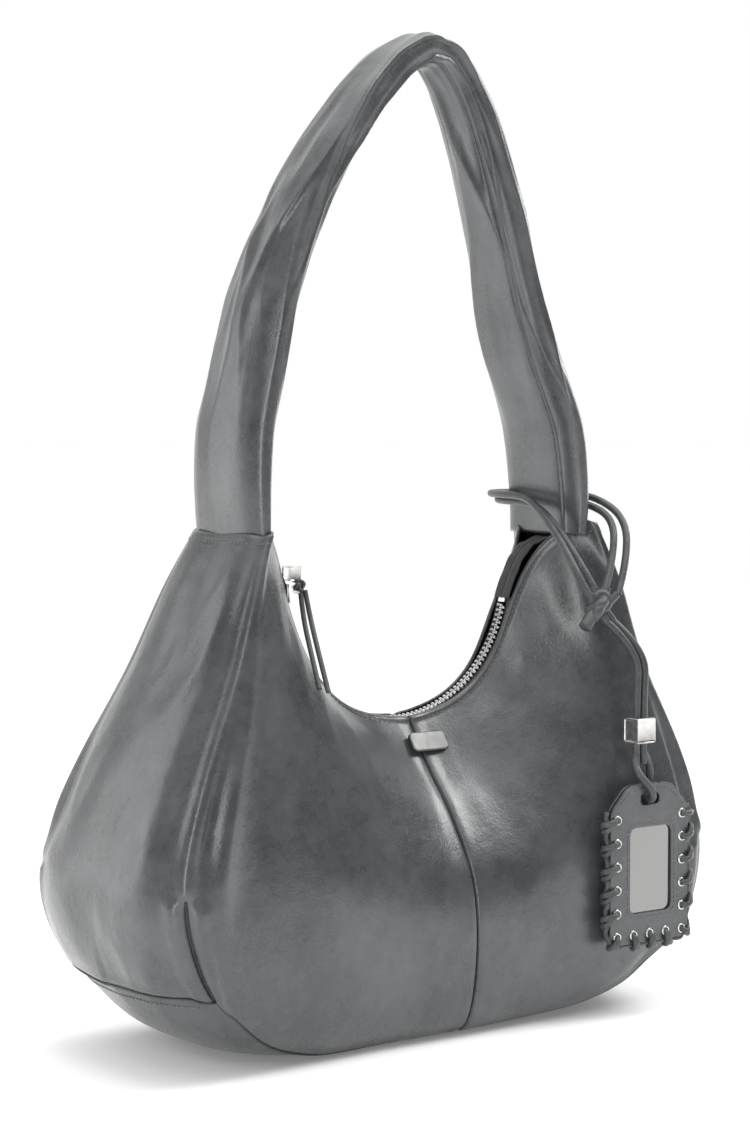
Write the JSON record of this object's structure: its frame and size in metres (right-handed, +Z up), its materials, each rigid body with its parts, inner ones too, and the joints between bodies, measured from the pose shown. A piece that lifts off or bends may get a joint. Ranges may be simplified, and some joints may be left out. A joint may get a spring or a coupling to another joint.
{
  "type": "hobo shoulder bag",
  "caption": "Slouchy leather hobo bag with U-shaped zipped mouth, tall peaks carrying a padded shoulder strap, darted lower corners and a laced mirror tag hung by a knotted cord.",
  "frame": {"origin": "centre of the flat part of the base, on the surface the bag stands on", "axes": "+X along the bag's length towards the side with the hanging charm, -Y towards the front face with the plaque, +Z up to the strap"},
  "size_m": [0.4013, 0.1799, 0.593],
  "materials": {
    "grey_leather": "glossy waxed, mottled grey",
    "grey_thong": "satin dark grey",
    "facing_leather": "satin grey",
    "board": "matte pressed board",
    "lining_cloth": "matte black woven",
    "zip_cloth": "matte black woven",
    "nickel": "polished nickel",
    "mirror": "silvered",
    "wadding": "soft wadding"
  },
  "bodies": {
    "bag": {"leather_half_left": "grey_leather", "leather_half_right": "grey_leather", "base_panel": "grey_leather", "base_board": "board", "lining": "lining_cloth", "mouth_facing_front": "facing_leather", "mouth_facing_rear": "facing_leather", "zip_tape_front": "zip_cloth", "zip_tape_rear": "zip_cloth", "zip_teeth_front": "nickel", "zip_teeth_rear": "nickel", "zip_end_stops": "nickel", "strap_root_left": "grey_leather", "strap_root_right": "grey_leather", "front_plaque": "nickel", "plaque_washer": "nickel", "charm_loop_cord_a": "grey_thong", "charm_loop_cord_b": "grey_thong", "charm_knot": "grey_thong"},
    "zip_slider": {"zip_slider": "nickel"},
    "zip_pull": {"zip_pull_ring": "nickel", "zip_pull_bead": "nickel", "zip_pull_knot": "grey_thong"},
    "zip_strands": {"zip_pull_strand_a": "grey_thong", "zip_pull_strand_b": "grey_thong"},
    "strap": {"strap": "grey_leather", "strap_padding": "wadding", "strap_fold_left": "grey_leather", "strap_fold_right": "grey_leather"},
    "charm_drop": {"charm_drop_cord_a": "grey_thong", "charm_drop_cord_b": "grey_thong", "charm_tag_loop": "grey_thong"},
    "charm_bead": {"charm_bead": "nickel"},
    "charm_tag": {"charm_tag_front": "grey_leather", "charm_tag_back": "grey_leather", "charm_mirror": "mirror", "charm_eyelets": "nickel", "charm_lacing": "grey_thong"}
  },
  "joints": [
    {"name": "zip_travel", "type": "hinge", "parent": "bag", "child": "zip_slider", "pos_m": [-0.004, 0, 0.2665], "axis": [0, -1, 0], "range_deg": [0, 158], "deforming": ["zip_tape_front", "zip_tape_rear", "zip_teeth_front", "zip_teeth_rear", "zip_pull_strand_a", "zip_pull_strand_b"]},
    {"name": "zip_pull_lift", "type": "hinge", "parent": "zip_slider", "child": "zip_pull", "pos_m": [-0.0762, 0, 0.2628], "axis": [-1, 0, 0], "range_deg": [0, 50]},
    {"name": "zip_strands_hang", "type": "hinge", "parent": "zip_pull", "child": "zip_strands", "pos_m": [-0.0785, -0.0072, 0.265], "axis": [0, -1, 0], "range_deg": [-158, 0]},
    {"name": "strap_fold", "type": "hinge", "parent": "bag", "child": "strap", "pos_m": [-0.005, 0, 0.359], "axis": [1, 0, 0], "range_deg": [-95, 95]},
    {"name": "charm_swing", "type": "hinge", "parent": "bag", "child": "charm_drop", "pos_m": [0.0995, -0.0575, 0.249], "axis": [-1, 0, 0], "range_deg": [0, 60]},
    {"name": "charm_bead_slide", "type": "slide", "parent": "charm_drop", "child": "charm_bead", "axis": [0, 0, 1], "range_m": [-0.002, 0.005]},
    {"name": "charm_tag_swing", "type": "hinge", "parent": "charm_drop", "child": "charm_tag", "pos_m": [0.119, -0.0872, 0.1404], "axis": [-1, 0, 0], "range_deg": [0, 80]}
  ],
  "couplings": [
    {"joint": "zip_strands_hang", "follows": "zip_travel", "ratio": -1}
  ]
}
